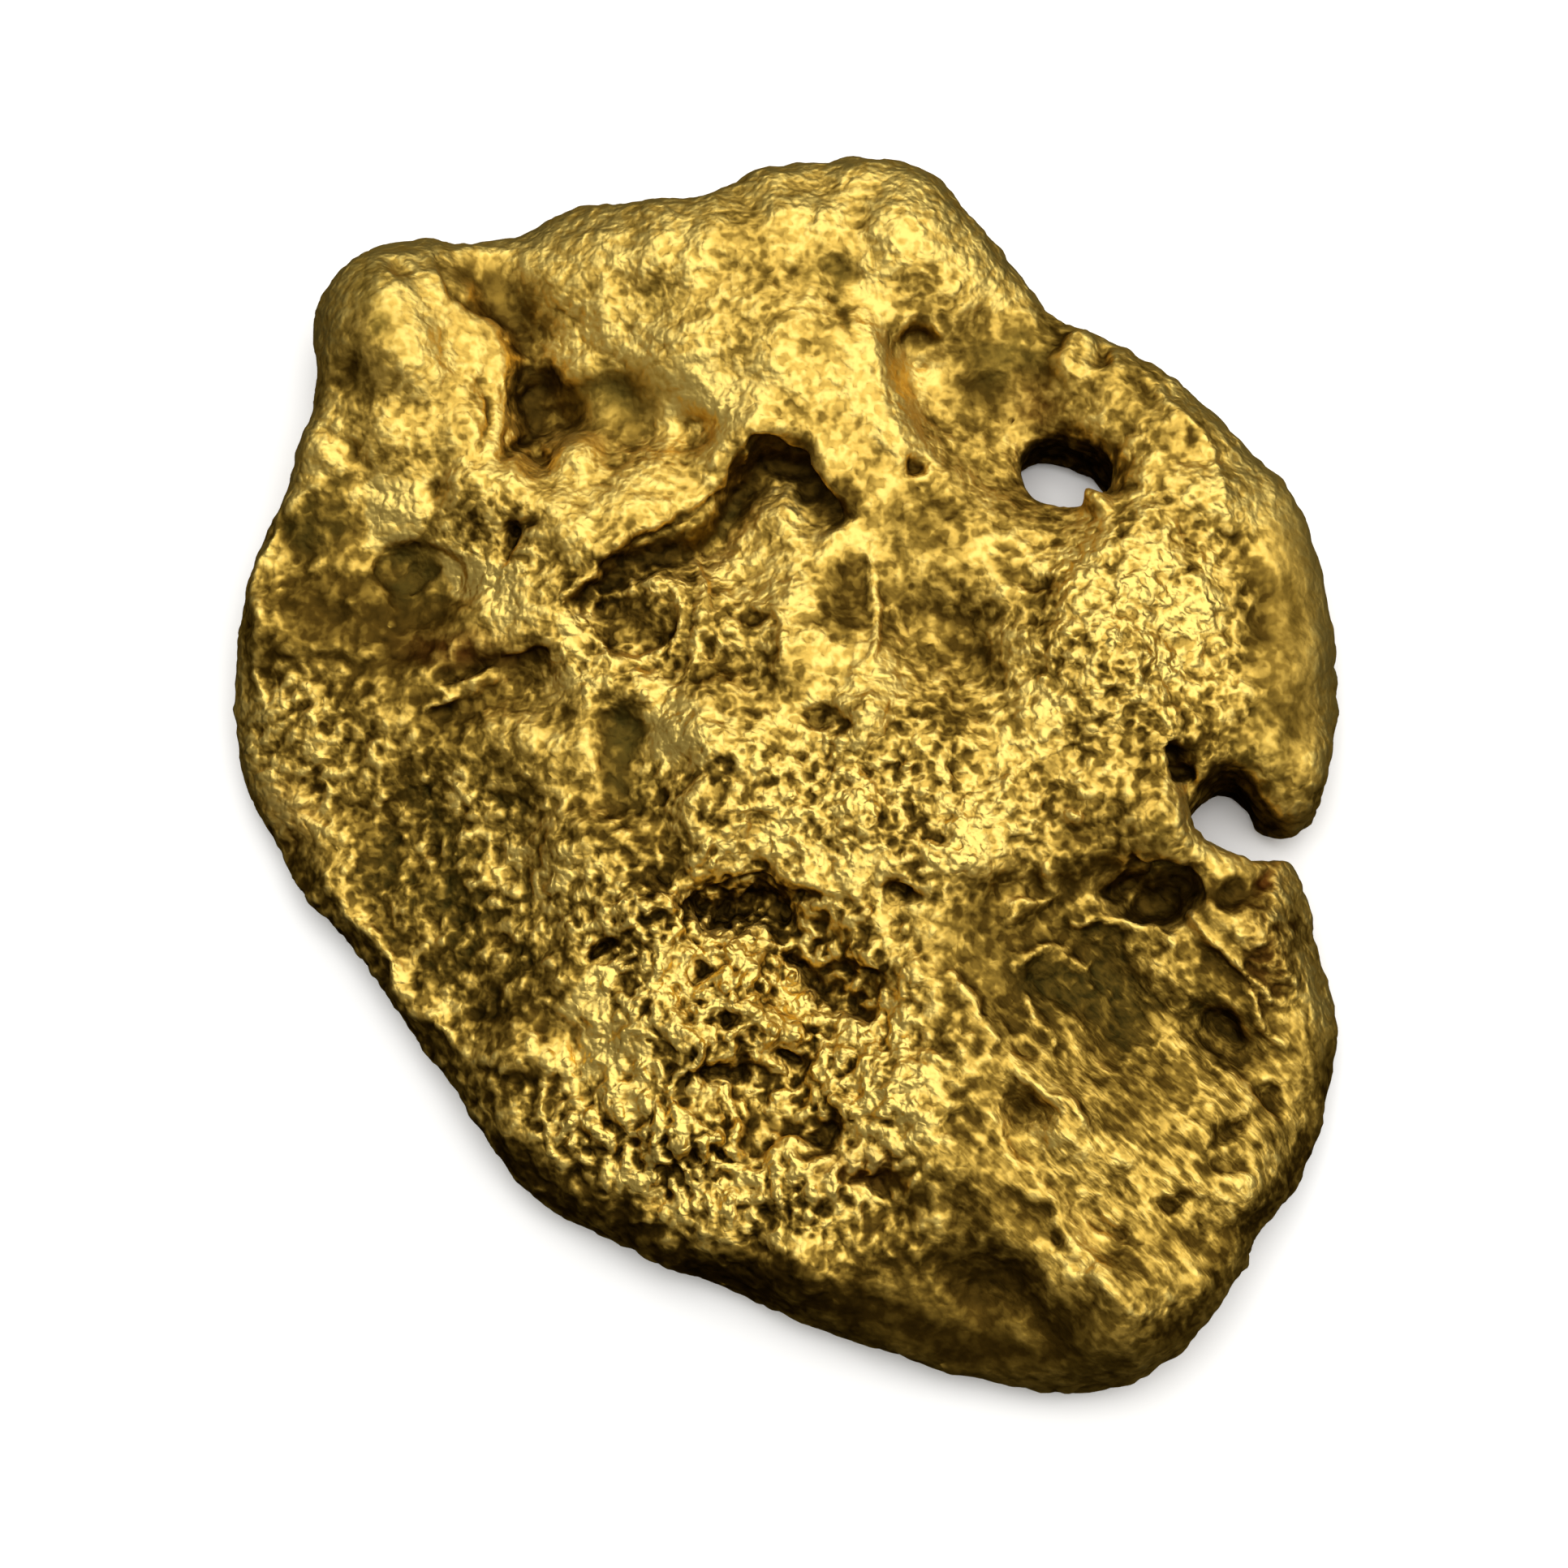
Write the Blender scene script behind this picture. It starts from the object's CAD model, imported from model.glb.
# %% [markdown]
# A placer gold nugget: one lump of native gold that a river has flattened, folded and worn.
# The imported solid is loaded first. It gives the nugget its size, its place and its main forms, and
# the rest of this script only adds what is too fine for the solid: the small pits, folds and grain
# of the surface, and the finish of the metal.

import bmesh
import bpy
import numpy as np
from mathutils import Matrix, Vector, noise
from mathutils.bvhtree import BVHTree


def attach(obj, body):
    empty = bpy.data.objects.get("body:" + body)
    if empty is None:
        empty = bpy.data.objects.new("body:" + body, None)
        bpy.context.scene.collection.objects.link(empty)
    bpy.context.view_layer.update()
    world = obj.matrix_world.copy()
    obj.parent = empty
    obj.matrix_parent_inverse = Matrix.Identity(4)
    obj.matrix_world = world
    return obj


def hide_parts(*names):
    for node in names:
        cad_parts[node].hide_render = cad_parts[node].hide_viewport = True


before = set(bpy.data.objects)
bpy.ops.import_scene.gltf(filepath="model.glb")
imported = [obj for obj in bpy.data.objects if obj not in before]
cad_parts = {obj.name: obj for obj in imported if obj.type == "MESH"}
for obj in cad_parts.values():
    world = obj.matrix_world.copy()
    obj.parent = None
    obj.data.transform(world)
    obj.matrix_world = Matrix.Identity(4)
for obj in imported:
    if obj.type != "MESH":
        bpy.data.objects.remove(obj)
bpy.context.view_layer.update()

# %% [markdown]
# The camera comes before the surface, because the nugget's top is drawn as this camera sees it.
# It looks down steeply on the nugget with a long lens, as a close-up is taken: a long lens
# keeps the outline true, with little of the widening that a near, wide lens gives.

# %% The camera
AIM = Vector((-0.00002, -0.00066, 0.00175))
ELEVATION = np.radians(74)
DISTANCE = 0.048
LENS = 89.0
SENSOR = 36.0

towards_camera = Vector((0.0, -np.cos(ELEVATION), np.sin(ELEVATION)))


def aimed_at(place, aim):
    """The turn that points an object's -Z from place to aim."""
    return (aim - place).to_track_quat("-Z", "Y").to_euler()


def in_scene(obj):
    bpy.context.scene.collection.objects.link(obj)
    return obj


camera_data = bpy.data.cameras.new("camera")
camera_data.lens = LENS
camera_data.sensor_width = SENSOR
camera_data.clip_start = 0.001
camera = in_scene(bpy.data.objects.new("camera", camera_data))
camera.location = AIM + towards_camera * DISTANCE
camera.rotation_euler = aimed_at(camera.location, AIM)
bpy.context.scene.camera = camera
print("camera at, mm:", [round(x * 1000, 2) for x in camera.location])

# %% [markdown]
# The drawing of the top is a sheet held at the place the camera aims at, square to its line of
# sight. Its columns count to the right and its rows count down, and one square is about a tenth of
# a millimetre. To find where a point of the skin falls on the sheet, its distance from the camera
# is taken into account, so that forms on high and on low ground both land where they are drawn.

# %% Reading places off the drawing
SQUARES = 193.2
SQUARE = DISTANCE * 1000 * SENSOR / LENS / SQUARES


def on_sheet(points):
    """Columns and rows of points, which are in millimetres."""
    moved = points - np.array(AIM) * 1000
    up = moved[:, 1] * np.sin(ELEVATION) + moved[:, 2] * np.cos(ELEVATION)
    nearer = -moved[:, 1] * np.cos(ELEVATION) + moved[:, 2] * np.sin(ELEVATION)
    widening = DISTANCE * 1000 / (DISTANCE * 1000 - nearer) / SQUARE
    return np.column_stack((SQUARES / 2 + moved[:, 0] * widening, SQUARES / 2 - up * widening))


print("one square of the drawing, mm:", round(SQUARE, 4))

# %% [markdown]
# The skin. The solid has flat facets a few tenths of a millimetre wide, far coarser than the
# grain of worn gold. A voxel remesh lays an even net of small squares over the same shape, and
# smoothing then melts the facets away. It could be subdivided instead, but that keeps the
# facets' long thin triangles, on which fine relief comes out uneven. The work is done in
# millimetres, because the remesh has no voxel smaller than a tenth of a millimetre in metres.

# %% An even skin over the solid
SKIN = 0.055
MELT_STROKES = 28


def evaluated(obj, name):
    """A new mesh object with the shape obj has after its modifiers. obj is removed."""
    graph = bpy.context.evaluated_depsgraph_get()
    made = in_scene(bpy.data.objects.new(name, bpy.data.meshes.new_from_object(obj.evaluated_get(graph))))
    bpy.data.objects.remove(obj, do_unlink=True)
    return made


def skin_over(node, name):
    mesh = bpy.data.meshes.new(name)
    form = bmesh.new()
    form.from_mesh(node.data)
    bmesh.ops.remove_doubles(form, verts=form.verts, dist=1e-7)
    bmesh.ops.scale(form, vec=(1000, 1000, 1000), verts=form.verts)
    form.to_mesh(mesh)
    form.free()
    obj = in_scene(bpy.data.objects.new(name, mesh))
    net = obj.modifiers.new("net", "REMESH")
    net.mode = "VOXEL"
    net.voxel_size = SKIN
    melt = obj.modifiers.new("melt", "SMOOTH")
    melt.factor = 0.5
    melt.iterations = MELT_STROKES
    return evaluated(obj, name)


skin = skin_over(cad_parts["nugget"], "nugget_skin")
print("skin:", len(skin.data.vertices), "points")

# %% [markdown]
# Reading and moving the points. numpy holds them all at once, which keeps the sums fast.

# %% Points and normals as arrays


def points_of(mesh):
    flat = np.empty(len(mesh.vertices) * 3, np.float32)
    mesh.vertices.foreach_get("co", flat)
    return flat.reshape(-1, 3).astype(float)


def normals_of(mesh):
    flat = np.empty(len(mesh.vertices) * 3, np.float32)
    mesh.vertices.foreach_get("normal", flat)
    return flat.reshape(-1, 3).astype(float)


def set_points(mesh, points):
    mesh.vertices.foreach_set("co", points.astype(np.float32).ravel())
    mesh.update()


points = points_of(skin.data)
normals = normals_of(skin.data)
places = on_sheet(points)
facing_up = np.clip(normals[:, 2] * 1.6, 0, 1)
print("sheet covers columns", places[:, 0].min().round(1), "to", places[:, 0].max().round(1))

# %% [markdown]
# The tools that carve the top: a mound raises or sinks an oval patch, a ledge drops the ground on
# one side of a line, and a crease raises a ridge or cuts a groove along a line. All heights are in
# squares of the drawing.

# %% Carving tools


def fine_line(line, steps=6):
    """A Catmull-Rom curve through the line's points, as an array of close points."""
    points = np.array([line[0], *line, line[-1]], float)
    fine = []
    for a, b, c, d in zip(points, points[1:], points[2:], points[3:]):
        for t in np.arange(steps) / steps:
            fine.append(0.5 * (2 * b + (c - a) * t + (2 * a - 5 * b + 4 * c - d) * t**2
                               + (3 * b - a - 3 * c + d) * t**3))
    return np.array([*fine, line[-1]])


def near(places, line, reach):
    """Which places lie within reach of the line's own box."""
    line = np.array(line, float)
    inside = (places > line.min(axis=0) - reach) & (places < line.max(axis=0) + reach)
    return np.flatnonzero(inside.all(axis=1))


def beside_line(places, line):
    """How far each place lies to the right of the line, and its share of the way along it."""
    fine = fine_line(line)
    nearest = np.full(len(places), np.inf)
    offset = np.zeros(len(places))
    share = np.zeros(len(places))
    for i, (start, end) in enumerate(zip(fine, fine[1:])):
        along = end - start
        from_start = places - start
        t = np.clip(from_start @ along / (along @ along), 0, 1)
        gap = np.linalg.norm(from_start - t[:, None] * along, axis=1)
        right = (from_start[:, 1] * along[0] - from_start[:, 0] * along[1]) / np.linalg.norm(along)
        closer = gap < nearest
        nearest[closer] = gap[closer]
        offset[closer] = np.copysign(gap, right)[closer]
        share[closer] = ((i + t) / (len(fine) - 1))[closer]
    return offset, share


def taper(share):
    """1 along the middle of a line, fading to 0 at its two ends."""
    return np.clip(4 * share * (1 - share), 0, 1) ** 0.5


def patch(places, column, row, half_length, half_width, turn):
    """1 at the middle of an oval patch, fading softly to 0 past its edge."""
    angle = np.radians(turn)
    from_middle = places - (column, row)
    along = from_middle @ (np.cos(angle), np.sin(angle)) / half_length
    across = from_middle @ (-np.sin(angle), np.cos(angle)) / half_width
    return np.exp(-0.9 * (along**2 + across**2) ** 1.4)


def carve_ledge(height, places, line, fall, edge, reach):
    some = near(places, line, 4 * reach)
    offset, share = beside_line(places[some], line)
    drop = 1 / (1 + np.exp(np.clip(-4 * (offset - edge / 2) / edge, -60, 60)))
    back = np.exp(-np.clip(offset - edge, 0, None) / reach)
    height[some] -= fall * drop * back * taper(share)


def carve_crease(height, places, line, half_width, rise):
    some = near(places, line, 4 * half_width)
    offset, share = beside_line(places[some], line)
    height[some] += rise * taper(share) * np.exp(-((offset / half_width) ** 2))


# %% [markdown]
# The small forms of the top, as they are drawn: pits, lumps, lips and folds too small for the solid.
# Nothing on worn gold has a clean outline, so each place is first swayed sideways by soft noise,
# and every form that is carved there comes out with a ragged edge.

# %% Small forms
MOUNDS = [
    (48.7, 32.7, 1.5, 1.1, 20, -1.1),
    (42.5, 46.2, 3.0, 1.6, 60, -0.9),
    (43.0, 56.0, 4.0, 1.2, 30, -0.8),
    (66.4, 48.5, 3.0, 1.6, 80, -1.6),
    (64.6, 54.4, 2.6, 1.0, -40, -1.2),
    (69.4, 55.0, 3.4, 2.6, 0, 1.5),
    (70.5, 45.6, 3.0, 1.6, 0, 0.9),
    (56.4, 82.6, 3.2, 1.4, -20, -1.5),
    (85.6, 52.7, 2.0, 1.8, 0, -1.1),
    (112.9, 57.9, 1.3, 1.2, 0, -2.2),
    (113.2, 41.6, 1.9, 1.4, 0, -1.6),
    (62.2, 66.2, 1.0, 2.2, 20, -1.6),
    (64.0, 65.0, 2.2, 0.8, -10, -1.3),
    (53.2, 60.6, 1.2, 1.5, 0, -0.8),
    (73.9, 117.4, 1.9, 0.9, 0, -1.5),
    (132.6, 43.0, 1.5, 1.3, 0, 1.3),
    (134.9, 43.6, 1.3, 1.2, 0, -1.5),
    (131.7, 101.2, 1.2, 1.1, 0, 1.3),
    (135.2, 62.2, 1.8, 1.2, -20, 2.4),
    (92.6, 76.0, 1.6, 1.2, 0, -1.0),
    (102.2, 88.2, 2.6, 1.3, 0, -1.2),
    (127.0, 71.1, 2.6, 1.6, 20, -1.1),
    (99.3, 110.5, 2.0, 0.9, 0, -1.5),
    (110.2, 110.4, 1.6, 0.9, 10, -1.3),
    (89.5, 125.8, 1.8, 1.0, 0, -1.3),
    (93.3, 127.0, 1.0, 1.4, 0, -1.3),
    (97.0, 129.9, 2.2, 0.8, 0, -1.1),
    (88.8, 132.6, 4.6, 1.2, -6, -1.4),
    (98.6, 139.0, 5.0, 1.6, 8, -1.6),
    (106.8, 145.5, 3.4, 1.1, 0, -1.2),
    (77.5, 140.6, 1.8, 1.0, -30, -1.1),
    (126.4, 136.0, 2.8, 2.2, 40, -1.2),
    (126.6, 129.2, 1.4, 1.0, 50, -1.2),
    (138.4, 108.8, 3.6, 1.4, 0, -1.0),
    (143.6, 109.0, 3.4, 1.8, 0, -2.6),
    (152.2, 110.6, 2.6, 1.6, 20, -1.1),
    (156.4, 108.6, 1.6, 1.9, 20, -1.2),
    (150.6, 125.9, 3.0, 1.5, 38, -1.6),
    (156.4, 135.5, 2.0, 1.0, 60, -1.3),
    (151.6, 139.2, 2.8, 1.2, -35, -1.1),
    (150.6, 143.0, 3.2, 1.2, 10, -1.0),
    (144.6, 147.7, 2.0, 0.9, 0, -1.1),
    (136.4, 151.0, 3.2, 0.9, 45, -1.0),
    (129.9, 152.2, 1.1, 0.8, 45, -1.1),
    (133.2, 156.2, 1.6, 0.9, 45, -1.1),
    (126.2, 145.2, 1.6, 0.8, 45, -0.9),
]
CREASES = [
    ([(69.3, 74.4), (71.2, 72.0), (73.7, 69.7)], 0.6, 0.8),
    ([(32.0, 83.3), (32.3, 77.3), (32.7, 72.0), (35.7, 63.0), (39.0, 59.0)], 0.7, 1.2),
    ([(41.0, 108.0), (46.0, 115.0), (50.0, 122.0), (57.0, 130.5)], 0.8, 1.1),
    ([(52.3, 88.0), (56.7, 86.0)], 0.7, 0.8),
    ([(86.4, 127.9), (85.7, 131.7), (83.0, 133.6)], 0.8, 1.2),
    ([(131.6, 113.1), (138.0, 113.6), (145.3, 115.2)], 0.7, 1.0),
    ([(146.6, 112.2), (149.5, 116.0), (153.7, 120.6), (157.0, 123.5)], 0.8, 1.2),
    ([(152.8, 121.4), (155.3, 126.4), (159.1, 129.3)], 0.6, 0.9),
    ([(124.5, 119.7), (126.6, 118.1), (129.5, 116.4), (131.6, 117.2), (134.5, 119.7)], 0.8, 1.1),
    ([(126.2, 122.7), (128.2, 126.0), (130.3, 128.9)], 0.7, 1.0),
    ([(116.6, 119.7), (119.5, 122.7), (124.1, 129.3)], 0.7, 1.1),
    ([(125.7, 131.8), (128.7, 134.3), (133.7, 138.1)], 0.8, 0.9),
    ([(121.2, 132.7), (123.7, 141.8), (128.7, 147.7), (134.5, 157.2), (140.3, 163.1)], 1.4, 0.9),
    ([(124.0, 114.5), (126.5, 111.0), (129.0, 110.0), (128.5, 106.0)], 0.7, 1.0),
    ([(138.0, 42.0), (144.0, 50.0), (149.0, 56.0), (151.8, 66.0)], 0.8, 0.7),
    ([(59.0, 46.0), (59.4, 52.0), (58.0, 58.0)], 0.7, -0.7),
    ([(62.8, 46.0), (63.4, 51.0), (62.6, 55.0)], 0.6, -0.6),
    ([(144.6, 91.2), (145.0, 94.5), (146.3, 97.6)], 0.6, -2.4),
    ([(92.6, 56.6), (95.0, 57.4), (97.8, 58.4), (100.5, 60.6), (104.4, 63.4)], 1.2, -1.3),
    ([(73.2, 74.5), (76.0, 72.4), (80.0, 71.6), (83.6, 72.8), (84.8, 76.4), (83.9, 80.2), (80.6, 82.0), (76.4, 81.4),
      (73.6, 78.6), (73.2, 74.5)], 0.7, 0.9),
    ([(106.6, 68.5), (107.6, 73.0), (107.0, 79.0), (104.5, 84.0)], 0.6, 0.8),
    ([(85.6, 68.6), (86.6, 74.0), (86.0, 79.5), (84.0, 84.6)], 0.6, 0.8),
    ([(92.0, 73.0), (95.2, 75.8), (96.2, 79.0), (94.8, 83.0)], 0.6, 0.7),
    ([(94.6, 110.4), (96.8, 114.6), (99.6, 119.0), (103.0, 122.4), (107.4, 125.0)], 1.0, -1.4),
]
LEDGES = [
    ([(69.3, 74.1), (74.0, 70.0), (79.0, 66.0), (85.0, 62.0), (89.0, 59.0), (91.7, 55.4)], 1.5, 0.9, 3.0),
    ([(91.7, 55.4), (93.4, 54.0), (98.0, 54.5), (100.0, 57.0), (104.0, 61.0), (105.8, 63.4)], 2.6, 0.9, 2.4),
    ([(53.7, 84.6), (57.3, 82.0), (61.0, 80.4), (67.3, 79.4)], 2.2, 0.9, 2.2),
    ([(33.3, 79.8), (42.0, 80.2), (50.0, 79.0), (55.7, 79.2)], 0.9, 1.0, 3.0),
    ([(45.7, 69.0), (49.7, 65.8), (53.5, 66.8), (57.0, 68.4), (57.6, 72.0)], 1.3, 1.2, 5.0),
    ([(52.1, 31.1), (54.8, 35.7), (57.1, 38.4), (60.9, 39.5), (63.6, 44.1), (62.8, 48.0), (61.8, 54.0)][::-1],
     1.4, 1.0, 4.0),
    ([(84.5, 111.7), (87.2, 109.8), (91.8, 108.2), (94.9, 108.6), (96.5, 110.5), (96.1, 112.8)], 2.0, 0.9, 2.4),
    ([(96.5, 115.5), (100.7, 118.2), (104.5, 117.3), (108.2, 119.6), (108.6, 123.0)], 1.8, 0.9, 2.6),
    ([(138.9, 104.9), (141.8, 107.0), (144.5, 107.3), (146.4, 104.8)], 2.0, 0.8, 2.6),
]


def swayed(places, grain, reach, level):
    """Places shifted sideways by soft noise: grain is the width of a bend, reach how far it goes."""
    shift = [noise.noise_vector(Vector((column / grain, row / grain, level))) for column, row in places]
    return places + np.array(shift)[:, :2] * reach


def ragged_places(points):
    return swayed(swayed(on_sheet(points), 7.0, 1.4, 3.0), 2.4, 0.9, 8.0)


ragged = ragged_places(points)
height = np.zeros(len(points))
for column, row, half_length, half_width, turn, rise in MOUNDS:
    some = near(ragged, [(column, row)], 3 * half_length)
    height[some] += rise * patch(ragged[some], column, row, half_length, half_width, turn)
for form in CREASES:
    carve_crease(height, ragged, *form)
for form in LEDGES:
    carve_ledge(height, ragged, *form)
print("small forms reach from", height.min().round(2), "to", height.max().round(2), "squares")

# %% [markdown]
# Worn gold isn't alike all over. Where the river rubs it, it is smooth; hollows and torn ground stay
# coarse and grainy; and where the metal was squeezed out, it has flowed into strands. Each kind of
# ground is drawn as a few oval patches, whose ragged places keep their edges natural.

# %% Kinds of ground
COARSE = [
    (140, 80, 14, 17, 0, 1.0), (106, 98, 26, 12, 0, 1.0), (90, 122, 24, 17, 30, 1.3), (105, 132, 12, 12, 0, 1.2),
    (80, 78, 14, 10, 0, 0.8), (60, 112, 16, 22, 120, 0.8), (38, 90, 8, 8, 0, 0.5), (84, 144, 24, 8, 20, 1.1),
    (60, 70, 6, 8, 0, 0.8), (46, 73, 14, 9, 0, 0.6), (137, 121, 12, 8, 20, 0.8), (156.5, 117.5, 4, 7, 0, 1.0),
]
CRUMPLED = [
    (94, 123, 25, 17, 25, 0.85), (84, 140, 22, 9, 20, 0.75), (104, 138, 13, 11, 0, 0.75), (38, 92, 8, 9, 0, 0.6),
    (60, 106, 12, 12, 0, 0.4), (108, 100, 22, 8, 0, 0.35), (44, 74, 10, 8, 0, 0.2),
]
FLOWED = [
    (142, 138, 26, 24, 50, 1.0),
]
STRANDS = [
    (82, 141, 19, 10, 22, 1.0), (102, 148, 13, 6, 18, 0.9), (60, 50, 4, 8, 0, 0.5),
]
SMOOTH = [
    (160, 74, 5, 24, 0, 1.0), (47, 40, 8, 9, 0, 0.5), (75, 155, 34, 5, 22, 0.3), (120, 166, 26, 6, 10, 0.8),
    (76, 49, 9, 5, 0, 0.8), (46, 74, 13, 8, 0, 0.8), (60, 37, 8, 5, 30, 0.7), (122, 46, 10, 6, 0, 0.5), (100, 57.5, 4, 3, 0, 0.3),
]


def zone(places, patches):
    """The strongest of the patches at each place."""
    total = np.zeros(len(places))
    for *oval, strength in patches:
        total = np.maximum(total, strength * patch(places, *oval))
    return total


def ground(places, up):
    """How coarse, crumpled, flowed and stranded each place is."""
    flowed = zone(places, FLOWED) * up
    strands = zone(places, STRANDS) * up
    smooth = zone(places, SMOOTH)
    coarse = (0.5 + 0.5 * zone(places, COARSE)) * (1 - 0.6 * smooth) * (1 - 0.35 * flowed)
    return coarse, zone(places, CRUMPLED) * up, flowed, strands


coarse, crumpled, flowed, strands = ground(ragged, facing_up)

# %% [markdown]
# The relief is mixed from noise at real sizes: broad lumps about 0.8 mm across, folds of half a
# millimetre, and grains of a quarter of a millimetre, the size of the crystals in native gold. The
# noise is read at bent points, so that grains run into one another like worms. Noise with its sign
# dropped makes rounded lumps with sharp seams between them, as crowded grains have.

# %% Relief


def waves(points, grain, shift=0.0):
    """Soft noise from -1 to 1, whose lumps are about grain millimetres wide."""
    return np.array([noise.noise(Vector(point)) for point in points / grain + shift])


def cobbles(points, grain, shift=0.0):
    """Rounded grains: highest at the crown of each, 0 in the seams between them."""
    gaps = np.array([noise.voronoi(Vector(point))[0][:2] for point in points / grain + shift])
    return np.clip(gaps[:, 1] - gaps[:, 0], 0, 0.7)


def along(points, heading):
    """The points squeezed fourfold along a heading in the plan, which draws noise out that way."""
    heading = np.array(heading, float) / np.linalg.norm(heading)
    across = np.array((-heading[1], heading[0]))
    return np.column_stack((points[:, :2] @ heading / 4, points[:, :2] @ across, points[:, 2]))


bend = np.column_stack([waves(points, 0.45, shift) for shift in (11.3, 27.1, 43.9)]) * 0.13
bent = points + bend
lumps = waves(points, 0.85) + 0.5 * waves(points, 0.42, 6.0)
folds = np.abs(waves(bent, 0.50, 5.0)) + 0.6 * np.abs(waves(bent, 0.27, 15.0))
worms = np.abs(waves(bent, 0.24, 33.0))
seeds = cobbles(bent, 0.23)
gaps = np.clip((waves(bent, 0.34, 51.0) + 0.7 * waves(bent, 0.19, 61.0) - 0.10) / 0.40, 0, 1)
slanted = along(bent, (1, -1))
upright = along(bent, (0, 1))
streaks = waves(slanted, 0.24, 9.0) + 0.6 * waves(slanted, 0.13, 19.0)
threads = np.abs(waves(upright, 0.24, 29.0)) + 0.4 * waves(upright, 0.13, 39.0)
sides = np.clip(1 - np.abs(normals[:, 2]) * 1.6, 0, 1)

relief = 0.034 * lumps
relief += (0.014 + 0.10 * crumpled) * (folds - 0.35)
relief += (0.045 * coarse + 0.03 * crumpled) * (seeds - 0.3)
relief += (0.055 * coarse + 0.07 * crumpled) * (worms - 0.2)
relief -= (0.030 * coarse + 0.055 * crumpled) * gaps
relief += 0.032 * streaks * flowed
relief += 0.120 * (threads - 0.3) * strands
relief += 0.060 * sides * (folds - 0.35)
relief += height * SQUARE * facing_up
at_base = points[:, 2] < 0.03
relief[at_base] = np.minimum(relief[at_base], 0)
set_points(skin.data, points + normals * relief[:, None])
print("relief, mm:", relief.min().round(3), "to", relief.max().round(3))

# %% [markdown]
# The net has the same small squares on smooth ground as on rough ground. Decimate takes points
# away where the skin is nearly flat and keeps them where it is rough, which is where they show.

# %% Fewer triangles, back to metres
TRIANGLES = 194000
thin = skin.modifiers.new("thin", "DECIMATE")
skin.data.calc_loop_triangles()
thin.ratio = min(1.0, TRIANGLES / len(skin.data.loop_triangles))
thin.use_collapse_triangulate = True
nugget = evaluated(skin, "worn_nugget")
set_points(nugget.data, points_of(nugget.data) / 1000)
nugget.data.shade_smooth()
print("nugget:", len(nugget.data.polygons), "triangles")

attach(nugget, "root")
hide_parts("nugget")

# %% [markdown]
# Hollows hold dirt and darkened gold. Two things are measured at each point: how far it lies below
# its neighbours, by smoothing a copy of the points, and how much of the sky is shut off by metal
# nearby, by sending a few rays out from it. A pointiness or ambient occlusion node could do the
# same in the render alone, but these values stay with the mesh wherever it goes.

# %% How hollow and how sheltered
points = points_of(nugget.data) * 1000
normals = normals_of(nugget.data)
ends = np.empty(len(nugget.data.edges) * 2, np.int32)
nugget.data.edges.foreach_get("vertices", ends)
ends = ends.reshape(-1, 2)


def spread(values, strokes):
    """Averages values over neighbours, strokes times."""
    share = np.bincount(ends.ravel(), minlength=len(values))
    for _ in range(strokes):
        total = np.column_stack([
            np.bincount(ends[:, 0], column[ends[:, 1]], len(column))
            + np.bincount(ends[:, 1], column[ends[:, 0]], len(column)) for column in values.T])
        values = 0.4 * values + 0.6 * total / share[:, None]
    return values


def sunk(strokes, depth):
    """How far each point lies below its smoothed place, as a share of depth. 0 is level."""
    return np.clip(((spread(points, strokes) - points) * normals).sum(axis=1) / depth, -1, 1)


def shelter(mesh, rays, reach):
    """The share of the sky over each point that metal closer than reach, in metres, shuts off."""
    count = np.arange(rays) + 0.5
    turn = count * np.pi * (3 - 5**0.5)
    rise = 1 - 2 * count / rays
    flat = np.sqrt(1 - rise**2)
    ball = [Vector(way) * 0.98 for way in np.column_stack((flat * np.cos(turn), flat * np.sin(turn), rise))]
    form = bmesh.new()
    form.from_mesh(mesh)
    tree = BVHTree.FromBMesh(form)
    form.free()
    shut = np.zeros(len(mesh.vertices))
    for i, vertex in enumerate(mesh.vertices):
        start = vertex.co + vertex.normal * 0.00002
        for way in ball:
            distance = tree.ray_cast(start, (vertex.normal + way).normalized(), reach)[3]
            if distance is not None:
                shut[i] += 1 - 0.5 * distance / reach
    return shut / rays


small_hollow = sunk(5, 0.03)
broad_hollow = sunk(50, 0.12)
shut_in = shelter(nugget.data, 12, 0.0012)
soft_normals = spread(normals, 24)
soft_normals /= np.linalg.norm(soft_normals, axis=1)[:, None]
print("sheltered: mean", shut_in.mean().round(2), "most", shut_in.max().round(2))

# %% [markdown]
# Tarnish. Gold itself never rusts, but the silver and copper in native gold do, and river dirt
# sticks to it: a film of brown and olive lies in the hollows and on the slopes that nothing rubs.
# The patches of it are drawn on the sheet. The slopes that lean away to the front carry more of it,
# and the noise breaks it all up into blotches.

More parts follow.
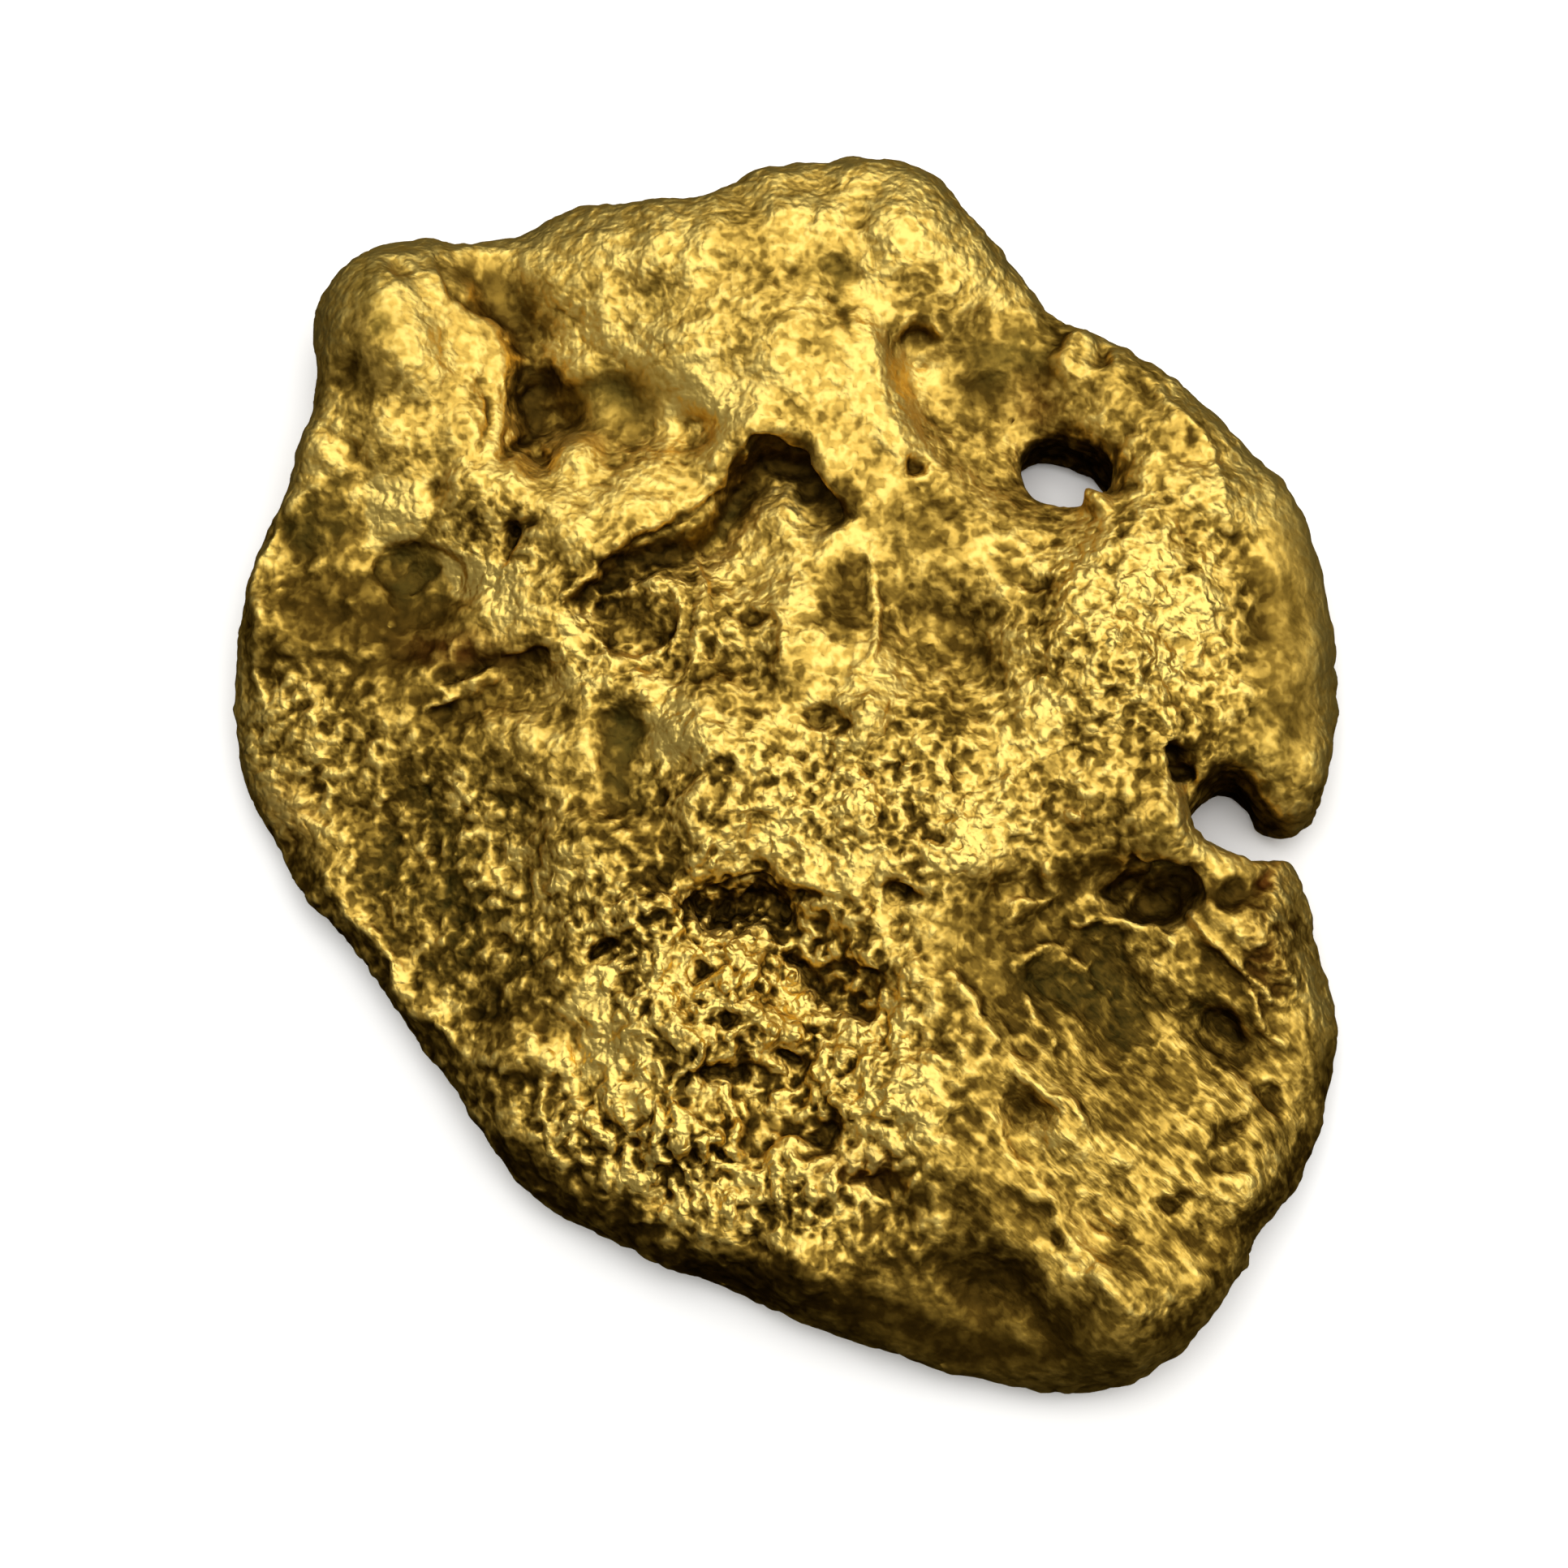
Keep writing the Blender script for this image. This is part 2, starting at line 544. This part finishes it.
# %% Tarnish
BROWNED = [
    (46, 75, 12, 6, 0, 1.6), (40, 66, 5, 6, 80, 1.2), (52, 74, 6, 4, 0, 1.0), (46, 79, 13, 4, 0, 1.5),
    (56, 91, 13, 6, 0, 0.5), (47, 87, 8, 5, 0, 0.45), (61, 82, 7, 2.2, -18, 0.8),
    (52, 104, 10, 7, 0, 0.75), (57, 113, 11, 9, 30, 0.95), (65, 124, 8, 11, 30, 0.9), (64, 133, 4, 7, 0, 0.8),
    (76, 92, 4, 7, 0, 0.8), (72, 102, 7, 4, 0, 0.55), (80, 105, 5, 6, 0, 0.65), (84, 111, 5, 3, 0, 0.5),
    (115, 77, 8, 13, 0, 0.35), (124, 72, 5, 4, 0, 0.45), (88, 85, 6, 3, 10, 0.4), (79, 76.8, 4.6, 3.8, 0, 0.9),
    (104, 73.5, 2.6, 5, 0, 0.8), (122, 46, 10, 6, 0, 0.5), (121, 55, 7, 6, 0, 0.35), (128, 50, 6, 5, 0, 0.5),
    (131, 60, 11, 8, 0, 0.35), (113.2, 41.8, 3, 2.4, 0, 0.7), (110, 46, 2.4, 4, 25, 0.3),
    (60, 37, 8, 5, 30, 0.5), (65, 46, 3.4, 7, 0, 0.3), (66.5, 49.5, 3.0, 3.0, 15, 0.9), (64.8, 54.6, 2.6, 1.6, -40, 0.8), (76, 50, 7, 5, 0, 0.35),
    (42, 46, 3, 3, 0, 0.5), (42, 50, 5, 2, 0, 0.4), (103, 33, 2.5, 4, 0, 0.4), (62, 66, 4, 3, 0, 0.3),
    (136, 108, 14, 4, 0, 0.6), (141, 122, 16, 9, 22, 0.7), (131, 124, 9, 6, 30, 0.6), (151, 126, 5, 3, 35, 1.0),
    (152, 139, 9, 6, -20, 0.8), (114, 65, 6, 4, 0, 0.9), (157, 78, 4, 12, 0, 0.8), (144, 54, 4, 4, 0, 0.5),
    (126, 41, 3.5, 3.5, 0, 0.6), (98, 35, 4, 6, 0, 0.5), (92, 29, 6, 3, 0, 0.4), (96, 84, 4, 3, 0, 0.5),
    (118, 115, 7, 3, 0, 0.6), (119, 128, 5, 11, 0, 0.7), (141, 134, 10, 6, 0, 0.9), (159, 131, 4, 5, 0, 0.7),
    (143, 152, 6, 9, 0, 0.6), (153, 112, 5, 4, 30, 0.6), (143, 101, 3, 4, 0, 0.4), (124, 163, 13, 4, 5, 1.0),
    (134, 122, 13, 9, 15, 1.3), (45, 85, 8, 3, 0, 0.8), (129, 43, 4, 5, 0, 0.5), (138, 48, 5, 4, 40, 0.6), (124, 114, 9, 3, 0, 0.6), (152.5, 111, 6, 4, 0, 1.2), (147, 141, 6, 5, 0, 0.8), (141, 156, 6, 4, -30, 0.9),
    (145, 119, 4, 4, 0, 0.9), (120, 141, 3, 5, 0, 0.6), (161, 131, 3, 6, 0, 0.7), (143.8, 109.2, 4.4, 2.8, 0, 1.6),
    (102, 40, 4, 5, 0, 0.4), (129, 45, 4, 4, 0, 0.8), (45.5, 41, 3, 4.5, 0, 0.7), (57, 53, 2.4, 5, -15, 0.3), (135.2, 62.2, 2.0, 1.2, -20, 1.2), (56.6, 82.3, 3.6, 1.7, -20, 1.6), (69, 95, 5, 3, 0, 0.4), (77, 106, 3, 5, -20, 0.4), (92, 138, 8, 3, 10, 0.4),
    (155, 110, 5, 5, 0, 0.5), (122, 150, 10, 8, 35, 0.8), (118, 158, 16, 6, 15, 0.85), (117, 143, 5, 8, 0, 0.6),
    (103, 119, 6, 5, 50, 0.5), (92, 132, 8, 3, 10, 0.4), (98, 139, 9, 4, 0, 0.8), (79, 125, 6, 3, 0, 0.2),
    (110, 146, 5, 3, 0, 0.3), (76, 117, 4, 3, 0, 0.4), (92, 110, 6, 2.4, 0, 0.35), (126, 136, 3.6, 3, 40, 0.5),
    (155, 90, 4, 8, 0, 0.4), (153, 72, 2.4, 10, 0, 0.3), (141, 98, 5, 3, 0, 0.3),
    (85, 66, 9, 2.4, -35, 0.6), (95, 56.5, 4.2, 2.6, 0, 1.8), (102.5, 60.5, 4.5, 2, 50, 1.6),
    (156.5, 117.5, 4, 7, 0, 0.55), (158.5, 87, 4, 9, 0, 0.7), (150.5, 131.5, 6, 6, 0, 0.7),
]
RUBBED = [
    (113, 45, 3.5, 6, 0, 0.7), (108, 35, 4, 4, 0, 0.3), (119, 106, 9, 3, 0, 0.6), (88, 108, 5, 3.5, 0, 0.6),
    (100, 130, 12, 9, 0, 0.4),
    (47, 63, 5, 4, 0, 0.9), (58, 71, 6, 3.5, 40, 1.1), (86, 49, 6, 5, 0, 0.6), (72.5, 126, 4, 6, 0, 1.4),
    (93, 104, 7, 4, 0, 0.6), (66, 108, 4, 4, 0, 0.5), (69, 83, 4, 3, 0, 0.4), (83, 90, 5, 4, 0, 0.9),
    (106, 93, 7, 3, 0, 0.4), (142, 74, 9, 7, 0, 0.4), (135, 66, 5, 4, 0, 0.4), (108, 138, 4, 6, -30, 0.7),
    (76, 146, 8, 3, 18, 0.7), (92, 153, 6, 2, 15, 0.4), (78, 135, 5, 6, 0, 0.4), (102, 108, 8, 5, 0, 0.3), (76, 42, 6, 4, 0, 0.3),
    (112, 84, 8, 3, 0, 0.2), (90, 144, 6, 3, 0, 0.3), (92, 118, 8, 8, 0, 0.25),
]
BANDS = [
    ([(57.0, 138.5), (68.0, 146.8), (75.7, 149.4), (86.5, 155.0), (93.0, 156.5), (106.0, 161.0),
      (120.0, 166.0), (140.0, 167.0)], 3.0, 1.6),
    ([(27.0, 97.0), (34.0, 104.5), (45.0, 118.0), (56.5, 133.5)], 1.6, 0.8),
    ([(28.0, 88.0), (28.0, 70.0), (34.0, 54.0), (36.0, 44.0), (36.0, 35.0), (39.0, 28.0), (46.0, 24.5)], 1.6, 0.3),
    ([(46.0, 24.5), (58.0, 24.4), (65.0, 22.5), (78.0, 19.8), (88.0, 19.6), (96.0, 15.6), (110.0, 14.4),
      (121.0, 21.5), (131.0, 34.0)], 2.0, 0.55),
    ([(131.0, 34.0), (146.0, 42.0), (156.0, 51.0), (163.4, 61.0), (166.6, 75.0), (166.0, 92.0)], 1.3, 0.6),
    ([(53.5, 84.6), (57.3, 82.3), (61.0, 80.7), (66.5, 79.7)], 1.2, 2.0),
    ([(70.5, 73.8), (75.2, 71.0), (80.0, 68.6), (86.0, 65.4), (90.5, 61.5)], 1.5, 1.4),
    ([(144.6, 91.2), (145.0, 94.5), (146.3, 97.6)], 0.9, 1.8),
    ([(94.6, 110.4), (96.8, 114.6), (99.6, 119.0), (103.0, 122.4), (107.4, 125.0)], 1.2, 1.1),
    ([(92.5, 56.0), (95.0, 57.2), (97.8, 58.2), (100.5, 60.6), (104.6, 63.6)], 1.5, 1.3),
    ([(140.0, 167.0), (148.0, 160.0), (155.0, 149.5), (162.5, 138.5), (165.4, 124.0)], 1.6, 1.3),
    ([(146.0, 95.5), (149.5, 96.8), (152.5, 97.4), (155.5, 100.6), (158.5, 103.0)], 1.6, 1.1),
]
GREENED = [
    (76, 48, 7, 3.5, 0, 0.6), (46, 38, 3.4, 5, 0, 0.9), (48, 42, 3, 3, 0, 0.5), (124, 44, 4, 4, 0, 0.8),
    (102, 33, 3, 5, 0, 0.5), (81, 38, 3, 2, 0, 0.5), (51, 69, 5, 4, 20, 0.8), (39, 63, 4, 5, 0, 0.6),
    (77, 92, 4, 6, 0, 0.6), (57, 108, 12, 14, 30, 0.4), (137, 121, 13, 8, 20, 0.3), (90, 64, 4, 2, -30, 0.5),
    (155, 93, 4, 6, 0, 0.5), (144, 104, 3, 4, 0, 0.4),
]
RUSTED = [
    (156.5, 108.6, 2.0, 2.6, 0, 0.7), (128, 50, 3, 3, 0, 0.4),
    (156.5, 117.5, 3.5, 6.5, 0, 0.3), (104, 144, 4, 2, 0, 0.4), (57, 80, 6, 2, 0, 0.5), (36, 100, 4, 3, 60, 0.4), (108, 143, 3, 2, 0, 0.4),
]


def keep(mesh, name, values):
    layer = mesh.attributes.new(name, "FLOAT", "POINT")
    layer.data.foreach_set("value", values.astype(np.float32))


up = np.clip(soft_normals[:, 2] * 1.6, 0, 1)
ragged = ragged_places(points)
coarse, crumpled, flowed, strands = ground(ragged, up)
drawn = zone(ragged, BROWNED)
for line, half_width, strength in BANDS:
    band = np.zeros(len(points))
    carve_crease(band, ragged, line, half_width, strength)
    drawn = np.maximum(drawn, band)
drawn *= np.clip(0.75 + up, 0, 1)
blotches = waves(points, 0.55, 71.0) + 0.6 * waves(points, 0.26, 81.0)
front_slope = np.clip(-1.5 * soft_normals[:, 1] - 0.1, 0, 0.6)
patina = drawn * (1 + 0.4 * blotches) + 0.7 * front_slope
patina += 0.95 * np.clip(coarse - 0.25, 0, 1) * blotches - zone(ragged, RUBBED)
patina += 1.5 * np.clip(shut_in - 0.18, 0, 0.6)
patina += 0.3 * np.clip(broad_hollow, -0.3, 1)
patina *= np.clip(1 + 0.9 * small_hollow, 0.25, 1.5)
patina += (0.3 + 0.5 * crumpled + 0.6 * strands) * small_hollow * coarse - 0.2 * crumpled
patina = np.where(patina > 0, 1.3 * (1 - np.exp(-np.abs(patina))), patina)
keep(nugget.data, "patina", patina)
keep(nugget.data, "coarse", coarse * (1 - 0.35 * np.clip(drawn, 0, 1)))
keep(nugget.data, "flowed", flowed)
keep(nugget.data, "greened", zone(ragged, GREENED) * up * np.clip(0.6 + blotches, 0, 1))
keep(nugget.data, "rusted", zone(ragged, RUSTED) * up)
print("patina: mean", patina.mean().round(2), "5 and 95 in 100:", np.percentile(patina, (5, 95)).round(2))

# %% [markdown]
# The finish. Native gold is a metal, so all of its colour is in its reflections: Metallic is 1, and
# the base colour is the tint of what it mirrors. River wear leaves it satin rather than polished.
# Grains of a tenth of a millimetre are too many for the mesh, so they are cells of a Voronoi
# texture in a Bump node: the distance to the middle of a cell, squared, makes a rounded dome, and
# the tarnish is darkest in the seams between domes.

# %% Native gold


def linear(code):
    """A colour as Blender wants it, from its sRGB hex code."""
    parts = np.array([int(code[i:i + 2], 16) for i in (1, 3, 5)]) / 255
    parts = np.where(parts <= 0.04045, parts / 12.92, ((parts + 0.055) / 1.055) ** 2.4)
    return (*parts, 1.0)


def add(tree, kind, settings, links):
    """Adds a node. Settings and links go by a property's name, or by a socket's name or number."""
    node = tree.nodes.new(kind)
    for key, value in settings.items():
        if isinstance(key, str) and hasattr(node, key):
            setattr(node, key, value)
        else:
            node.inputs[key].default_value = value
    for key, output in links.items():
        tree.links.new(output, node.inputs[key])
    return node


gold = bpy.data.materials.new("native_gold_river_worn")
gold.use_nodes = True
tree = gold.node_tree
shader = tree.nodes["Principled BSDF"]
shader.inputs["Metallic"].default_value = 1.0
shader.inputs["Specular Tint"].default_value = linear("#C09A3C")
place = add(tree, "ShaderNodeTexCoord", {}, {}).outputs["Object"]
kept = {name: add(tree, "ShaderNodeAttribute", {"attribute_name": name}, {}).outputs["Fac"]
        for name in ("patina", "coarse", "flowed", "greened", "rusted")}

sway = add(tree, "ShaderNodeTexNoise", {"Scale": 4000.0, "Detail": 2.0}, {"Vector": place})
centred = add(tree, "ShaderNodeVectorMath", {"operation": "SUBTRACT", 1: (0.5, 0.5, 0.5)}, {0: sway.outputs["Color"]})
bent_place = add(tree, "ShaderNodeVectorMath", {"operation": "MULTIPLY_ADD", 1: (0.00009,) * 3},
                 {0: centred.outputs[0], 2: place}).outputs[0]
large = add(tree, "ShaderNodeTexVoronoi", {"Scale": 5200.0}, {"Vector": bent_place})
small = add(tree, "ShaderNodeTexVoronoi", {"Scale": 9500.0}, {"Vector": bent_place})
large_dome = add(tree, "ShaderNodeMath", {"operation": "POWER", 1: 2.0}, {0: large.outputs["Distance"]}).outputs[0]
small_dome = add(tree, "ShaderNodeMath", {"operation": "POWER", 1: 2.0}, {0: small.outputs["Distance"]}).outputs[0]
seams = add(tree, "ShaderNodeMix", {"data_type": "FLOAT", 0: 0.4}, {2: large_dome, 3: small_dome}).outputs[0]
mottle = add(tree, "ShaderNodeTexNoise", {"Scale": 7500.0, "Detail": 1.0}, {"Vector": bent_place}).outputs["Fac"]
low = add(tree, "ShaderNodeMix", {"data_type": "FLOAT", 0: 0.6}, {2: seams, 3: mottle}).outputs[0]
seams_deep = add(tree, "ShaderNodeMath", {"operation": "MULTIPLY"}, {0: low, 1: kept["coarse"]}).outputs[0]
grainy = add(tree, "ShaderNodeBump", {"Strength": 1.0, "Distance": 0.00011, "invert": True}, {"Height": seams_deep})

turned = add(tree, "ShaderNodeMapping", {"vector_type": "TEXTURE", "Rotation": (0.0, 0.0, -0.785),
                                         "Scale": (3.5, 1.0, 1.0)}, {"Vector": bent_place}).outputs[0]
strand = add(tree, "ShaderNodeTexNoise", {"Scale": 11000.0, "Detail": 2.0}, {"Vector": turned}).outputs["Fac"]
strand_high = add(tree, "ShaderNodeMath", {"operation": "MULTIPLY"}, {0: strand, 1: kept["flowed"]}).outputs[0]
stranded = add(tree, "ShaderNodeBump", {"Strength": 1.0, "Distance": 0.00003},
               {"Height": strand_high, "Normal": grainy.outputs[0]})
fine = add(tree, "ShaderNodeTexNoise", {"Scale": 16000.0, "Detail": 3.0, "Roughness": 0.6}, {"Vector": place}).outputs["Fac"]
finest = add(tree, "ShaderNodeBump", {"Strength": 0.3, "Distance": 0.00001}, {"Height": fine, "Normal": stranded.outputs[0]})
tree.links.new(finest.outputs[0], shader.inputs["Normal"])

in_seam = add(tree, "ShaderNodeMapRange", {"From Min": 0.15, "From Max": 0.5, "To Max": 0.4}, {"Value": seams}).outputs[0]
speckle = add(tree, "ShaderNodeMapRange", {"From Min": 0.43, "From Max": 0.60, "To Min": -0.1, "To Max": 0.65}, {"Value": mottle}).outputs[0]
in_seam = add(tree, "ShaderNodeMath", {"operation": "ADD"}, {0: in_seam, 1: speckle}).outputs[0]
in_seam = add(tree, "ShaderNodeMath", {"operation": "MULTIPLY"}, {0: in_seam, 1: kept["coarse"]}).outputs[0]
streaky = add(tree, "ShaderNodeMapRange", {"From Min": 0.4, "From Max": 0.6, "To Min": -0.25, "To Max": 0.25}, {"Value": strand}).outputs[0]
streaky = add(tree, "ShaderNodeMath", {"operation": "MULTIPLY"}, {0: streaky, 1: kept["flowed"]}).outputs[0]
total = add(tree, "ShaderNodeMath", {"operation": "ADD"}, {0: in_seam, 1: kept["patina"]}).outputs[0]
total = add(tree, "ShaderNodeMath", {"operation": "SUBTRACT"}, {0: total, 1: streaky}).outputs[0]
tone = add(tree, "ShaderNodeMath", {"operation": "DIVIDE", 1: 1.6}, {0: total}).outputs[0]
shade = add(tree, "ShaderNodeValToRGB", {}, {"Fac": tone})
ramp = shade.color_ramp
ramp.elements[0].position = 0.0
ramp.elements[0].color = linear("#F9D976")
ramp.elements[1].position = 1.0
ramp.elements[1].color = linear("#2C2008")
for position, code in ((0.19, "#E2BC58"), (0.41, "#987A30"), (0.64, "#5C4516")):
    ramp.elements.new(position).color = linear(code)
shade = shade.outputs[0]
green = add(tree, "ShaderNodeMath", {"operation": "MULTIPLY", 1: 0.3}, {0: kept["greened"]}).outputs[0]
shade = add(tree, "ShaderNodeMix", {"data_type": "RGBA", 7: linear("#8A8038")}, {0: green, 6: shade}).outputs[2]
rust = add(tree, "ShaderNodeMath", {"operation": "MULTIPLY", 1: 0.6}, {0: kept["rusted"]}).outputs[0]
shade = add(tree, "ShaderNodeMix", {"data_type": "RGBA", 7: linear("#6A2A0C")}, {0: rust, 6: shade}).outputs[2]
tree.links.new(shade, shader.inputs["Base Color"])
rough = add(tree, "ShaderNodeMapRange", {"From Min": -0.5, "From Max": 0.8, "To Min": 0.36, "To Max": 0.58}, {"Value": total}).outputs[0]
tree.links.new(rough, shader.inputs["Roughness"])
nugget.data.materials.clear()
nugget.data.materials.append(gold)

# %% [markdown]
# The table and the light.

# %% Floor, lights


def flat_card(name, level, half_side, colour):
    mesh = bpy.data.meshes.new(name)
    form = bmesh.new()
    bmesh.ops.create_grid(form, x_segments=1, y_segments=1, size=half_side)
    bmesh.ops.translate(form, vec=(0, 0, level), verts=form.verts)
    form.to_mesh(mesh)
    form.free()
    material = bpy.data.materials.new(name + "_card")
    material.use_nodes = True
    material.node_tree.nodes["Principled BSDF"].inputs["Base Color"].default_value = linear(colour)
    material.node_tree.nodes["Principled BSDF"].inputs["Roughness"].default_value = 0.9
    mesh.materials.append(material)
    card = in_scene(bpy.data.objects.new(name, mesh))
    return card


floor = flat_card("floor", 0.0, 0.5, "#F7F7F7")
floor.visible_glossy = False
under = flat_card("dark_underlay", -0.002, 0.5, "#0A0805")


def softbox(name, place, width, depth, watts, aim=Vector((0, 0, 0))):
    light = bpy.data.lights.new(name, "AREA")
    light.shape = "RECTANGLE"
    light.size = width
    light.size_y = depth
    light.energy = watts
    obj = in_scene(bpy.data.objects.new(name, light))
    obj.location = place
    obj.rotation_euler = aimed_at(obj.location, aim)
    return obj


softbox("main_softbox", Vector((0.03, 0.035, 0.11)), 0.24, 0.18, 0.20)
fill = softbox("fill", Vector((-0.02, -0.02, 0.2)), 0.2, 0.2, 0.3)
fill.visible_glossy = False
world = bpy.data.worlds.new("studio")
bpy.context.scene.world = world
world.use_nodes = True
world.node_tree.nodes["Background"].inputs["Color"].default_value = (0.21, 0.195, 0.16, 1)
bpy.context.scene.view_settings.view_transform = "Standard"
